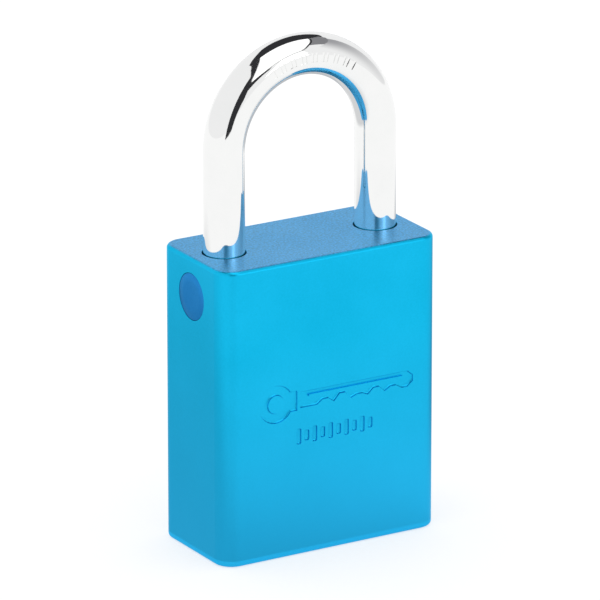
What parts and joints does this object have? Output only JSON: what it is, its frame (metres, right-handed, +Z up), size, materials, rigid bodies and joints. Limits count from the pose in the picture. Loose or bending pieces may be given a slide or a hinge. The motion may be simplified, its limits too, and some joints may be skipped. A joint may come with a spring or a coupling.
{
  "type": "safety padlock",
  "caption": "Rectangular anodised aluminium safety padlock with a round chrome shackle, ball locking and a pin tumbler cylinder in the bottom.",
  "frame": {"origin": "centre of the case's bottom face", "axes": "+Z up through the shackle, +X from the short toe leg to the long heel leg of the shackle, front face towards -Y"},
  "size_m": [0.0382, 0.019, 0.0792],
  "materials": {
    "anodised_case": "satin blue anodised, fine blasted grain",
    "anodised_plug": "satin darker blue anodised",
    "chrome_shackle": "polished chrome plate on hardened steel",
    "spring_steel": "drawn wire",
    "bearing_steel": "ground hardened steel",
    "cylinder_brass": "machined brass",
    "pin_brass": "turned brass",
    "stainless_plate": "brushed stainless steel"
  },
  "bodies": {
    "case": {"lock_case": "anodised_case", "cross_bore_plug": "anodised_plug", "bottom_plate": "stainless_plate", "cylinder_shell": "cylinder_brass", "pin_chamber_cover": "cylinder_brass", "cylinder_retaining_screw": "bearing_steel", "anti_drill_pin_inner": "bearing_steel", "anti_drill_pin_outer": "bearing_steel", "shackle_spring": "spring_steel", "pin_spring_1": "spring_steel", "pin_spring_2": "spring_steel", "pin_spring_3": "spring_steel", "pin_spring_4": "spring_steel", "pin_spring_5": "spring_steel", "pin_spring_6": "spring_steel"},
    "shackle": {"shackle": "chrome_shackle"},
    "plug": {"key_plug": "cylinder_brass", "plug_retaining_ring": "spring_steel"},
    "actuator": {"actuator": "bearing_steel"},
    "toe_ball": {"locking_ball_toe": "bearing_steel"},
    "heel_ball": {"locking_ball_heel": "bearing_steel"},
    "driver_1": {"driver_pin_1": "pin_brass"},
    "driver_2": {"driver_pin_2": "pin_brass"},
    "driver_3": {"driver_pin_3": "pin_brass"},
    "driver_4": {"driver_pin_4": "pin_brass"},
    "driver_5": {"driver_pin_5": "pin_brass"},
    "driver_6": {"driver_pin_6": "pin_brass"},
    "key_pin_body_1": {"key_pin_1": "pin_brass"},
    "key_pin_body_2": {"key_pin_2": "pin_brass"},
    "key_pin_body_3": {"key_pin_3": "pin_brass"},
    "key_pin_body_4": {"key_pin_4": "pin_brass"},
    "key_pin_body_5": {"key_pin_5": "pin_brass"},
    "key_pin_body_6": {"key_pin_6": "pin_brass"}
  },
  "joints": [
    {"name": "shackle_lift", "type": "slide", "parent": "case", "child": "shackle", "axis": [0, 0, 1], "range_m": [0, 0.0125], "deforming": ["shackle_spring"]},
    {"name": "plug_turn", "type": "hinge", "parent": "case", "child": "plug", "pos_m": [0, 0, 0.0145], "axis": [0, 0, 1], "range_deg": [-90, 0]},
    {"name": "actuator_turn", "type": "hinge", "parent": "case", "child": "actuator", "pos_m": [0, 0, 0.0366], "axis": [0, 0, 1], "range_deg": [-90, 0]},
    {"name": "toe_ball_travel", "type": "slide", "parent": "case", "child": "toe_ball", "axis": [-1, 0, 0], "range_m": [0, 0.002]},
    {"name": "heel_ball_travel", "type": "slide", "parent": "case", "child": "heel_ball", "axis": [1, 0, 0], "range_m": [0, 0.001]},
    {"name": "driver_pin_1_slide", "type": "slide", "parent": "case", "child": "driver_1", "axis": [-1, 0, 0], "range_m": [0, 0.0012], "stiffness_N_per_m": 15, "springref_m": -0.004, "deforming": ["pin_spring_1"]},
    {"name": "driver_pin_2_slide", "type": "slide", "parent": "case", "child": "driver_2", "axis": [-1, 0, 0], "range_m": [0, 0.0012], "stiffness_N_per_m": 15, "springref_m": -0.004, "deforming": ["pin_spring_2"]},
    {"name": "driver_pin_3_slide", "type": "slide", "parent": "case", "child": "driver_3", "axis": [-1, 0, 0], "range_m": [0, 0.0012], "stiffness_N_per_m": 15, "springref_m": -0.004, "deforming": ["pin_spring_3"]},
    {"name": "driver_pin_4_slide", "type": "slide", "parent": "case", "child": "driver_4", "axis": [-1, 0, 0], "range_m": [0, 0.0012], "stiffness_N_per_m": 15, "springref_m": -0.004, "deforming": ["pin_spring_4"]},
    {"name": "driver_pin_5_slide", "type": "slide", "parent": "case", "child": "driver_5", "axis": [-1, 0, 0], "range_m": [0, 0.0012], "stiffness_N_per_m": 15, "springref_m": -0.004, "deforming": ["pin_spring_5"]},
    {"name": "driver_pin_6_slide", "type": "slide", "parent": "case", "child": "driver_6", "axis": [-1, 0, 0], "range_m": [0, 0.0012], "stiffness_N_per_m": 15, "springref_m": -0.004, "deforming": ["pin_spring_6"]},
    {"name": "key_pin_1_slide", "type": "slide", "parent": "plug", "child": "key_pin_body_1", "axis": [0, 1, 0], "range_m": [0, 0.0012]},
    {"name": "key_pin_2_slide", "type": "slide", "parent": "plug", "child": "key_pin_body_2", "axis": [0, 1, 0], "range_m": [0, 0.0012]},
    {"name": "key_pin_3_slide", "type": "slide", "parent": "plug", "child": "key_pin_body_3", "axis": [0, 1, 0], "range_m": [0, 0.0012]},
    {"name": "key_pin_4_slide", "type": "slide", "parent": "plug", "child": "key_pin_body_4", "axis": [0, 1, 0], "range_m": [0, 0.0012]},
    {"name": "key_pin_5_slide", "type": "slide", "parent": "plug", "child": "key_pin_body_5", "axis": [0, 1, 0], "range_m": [0, 0.0012]},
    {"name": "key_pin_6_slide", "type": "slide", "parent": "plug", "child": "key_pin_body_6", "axis": [0, 1, 0], "range_m": [0, 0.0012]}
  ],
  "couplings": [
    {"joint": "actuator_turn", "follows": "plug_turn", "ratio": 1},
    {"joint": "toe_ball_travel", "follows": "plug_turn", "m_per_rad": -0.00127},
    {"joint": "heel_ball_travel", "follows": "plug_turn", "m_per_rad": -0.000635}
  ]
}
